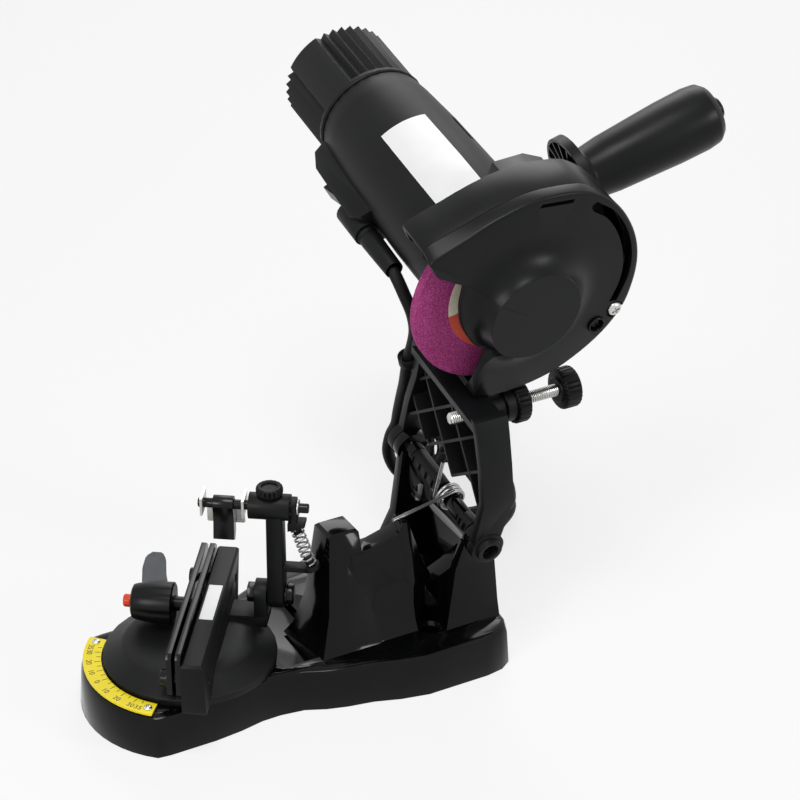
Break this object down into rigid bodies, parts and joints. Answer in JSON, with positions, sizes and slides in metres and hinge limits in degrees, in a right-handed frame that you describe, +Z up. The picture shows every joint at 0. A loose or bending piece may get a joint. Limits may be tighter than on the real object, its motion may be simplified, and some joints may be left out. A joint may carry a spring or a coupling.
{
  "type": "electric chain sharpener",
  "caption": "Bench chain grinder with a swinging motor head, pink wheel in a black guard, angled chain vise on a yellow degree scale and a folded mains lead.",
  "frame": {"origin": "on the bench, midway between the two bolts that hold the base down", "axes": "+Z up; +Y from the chain vise to the hinge column; +X to the right of a person who stands at the vise and faces the wheel"},
  "size_m": [0.266, 0.3516, 0.2678],
  "materials": {
    "gloss_black_paint": "gloss black lacquer on die-cast metal",
    "black_plastic": "fine-grained matte black plastic",
    "cord_rubber": "matte black sheath",
    "yellow_scale": "yellow printed scale plate",
    "black_steel": "blackened steel",
    "zinc_steel": "bright zinc plating",
    "spring_steel": "drawn spring wire",
    "bright_steel": "turned steel",
    "copper_winding": "enamelled winding on steel sheets",
    "pink_stone": "vitrified pink grinding stone",
    "red_plastic": "red moulded plastic"
  },
  "bodies": {
    "root": {"base_casting": "gloss_black_paint", "angle_scale": "yellow_scale", "scale_screw_left": "zinc_steel", "scale_screw_right": "zinc_steel", "hinge_pin": "black_steel", "spring_bush": "black_plastic", "hinge_bush": "black_plastic", "hinge_sleeve": "gloss_black_paint", "torsion_spring": "spring_steel", "cord_lower": "cord_rubber", "cord_hank": "cord_rubber", "cord_tie": "cord_rubber", "mains_plug": "black_plastic"},
    "swivel": {"vise_body": "black_plastic", "turntable_bolt": "zinc_steel", "turntable_washer": "zinc_steel", "rail_fixed": "black_steel", "rail_bolt_far": "zinc_steel", "rail_bolt_near": "zinc_steel", "post_bolt": "zinc_steel", "post_nut": "zinc_steel", "clamp_shaft": "zinc_steel"},
    "jaw": {"rail_moving": "black_steel"},
    "lever": {"lever_hub": "black_plastic"},
    "button": {"push_button": "red_plastic"},
    "chain_stop": {"stop_post": "black_plastic", "stop_rod": "zinc_steel", "rod_clip": "zinc_steel", "stop_lever": "black_plastic", "stop_spring": "spring_steel", "stop_bracket": "zinc_steel"},
    "pawl": {"stop_pawl": "black_steel"},
    "stop_clamp": {"stop_knob": "black_plastic"},
    "head": {"arm": "black_plastic", "motor_housing": "black_plastic", "rear_cover": "black_plastic", "stator": "copper_winding", "front_bearing": "bright_steel", "rear_bearing": "bright_steel", "guard_back": "black_plastic", "guard_cover": "black_plastic", "guard_screw_1": "zinc_steel", "guard_screw_2": "zinc_steel", "handle_grip": "black_plastic", "handle_stud": "zinc_steel", "strain_relief": "black_plastic", "cable_clip": "black_plastic", "cord_upper": "cord_rubber"},
    "spindle": {"grinding_wheel": "pink_stone", "rotor": "bright_steel", "inner_flange": "bright_steel", "outer_flange": "bright_steel", "wheel_nut": "zinc_steel"},
    "depth_stop": {"depth_screw": "zinc_steel", "depth_knob": "black_plastic"},
    "lock": {"lock_knob": "black_plastic"},
    "rocker": {"switch_rocker": "red_plastic"}
  },
  "joints": [
    {"name": "head_swing", "type": "hinge", "parent": "root", "child": "head", "pos_m": [0, 0.0255, 0.075], "axis": [0.9744, 0, -0.225], "range_deg": [0, 50], "stiffness_Nm_per_rad": 1.5, "springref_deg": -20.05, "deforming": ["torsion_spring", "cord_upper", "cord_lower"]},
    {"name": "wheel_spin", "type": "hinge", "parent": "head", "child": "spindle", "pos_m": [0.02857, 0.0439, 0.19875], "axis": [0.9744, 0, -0.225], "continuous": true},
    {"name": "vise_turn", "type": "hinge", "parent": "root", "child": "swivel", "pos_m": [0, -0.116, 0], "axis": [0, 0, 1], "range_deg": [0, 70]},
    {"name": "jaw_close", "type": "slide", "parent": "swivel", "child": "jaw", "axis": [0.5736, 0.8192, 0], "range_m": [0, 0.0014]},
    {"name": "lever_turn", "type": "hinge", "parent": "swivel", "child": "lever", "pos_m": [-0.0174, -0.11993, 0.044], "axis": [0.5736, 0.8192, 0], "range_deg": [0, 110]},
    {"name": "button_press", "type": "slide", "parent": "lever", "child": "button", "axis": [0.5736, 0.8192, 0], "range_m": [0, 0.0018], "stiffness_N_per_m": 300, "springref_m": -0.0005},
    {"name": "stop_tilt", "type": "hinge", "parent": "swivel", "child": "chain_stop", "pos_m": [0.00218, -0.0693, 0.045], "axis": [0.5736, 0.8192, 0], "range_deg": [0, 40]},
    {"name": "pawl_flip", "type": "hinge", "parent": "chain_stop", "child": "pawl", "pos_m": [-0.01216, -0.08978, 0.095], "axis": [0.5736, 0.8192, 0], "range_deg": [-33, 0]},
    {"name": "stop_clamp_turn", "type": "hinge", "parent": "chain_stop", "child": "stop_clamp", "pos_m": [0.00074, -0.07135, 0.1], "axis": [0, 0, 1], "continuous": true},
    {"name": "depth_travel", "type": "slide", "parent": "head", "child": "depth_stop", "axis": [0, 1, 0], "range_m": [-0.01, 0.01]},
    {"name": "lock_turn", "type": "hinge", "parent": "head", "child": "lock", "pos_m": [0.02075, 0.0521, 0.12932], "axis": [0, 1, 0], "continuous": true},
    {"name": "rocker_tilt", "type": "hinge", "parent": "head", "child": "rocker", "pos_m": [-0.08319, 0.01123, 0.20364], "axis": [-0.1909, 0.5291, -0.8268], "range_deg": [0, 7]}
  ],
  "couplings": [
    {"joint": "jaw_close", "follows": "lever_turn", "m_per_rad": 0.0007032}
  ]
}
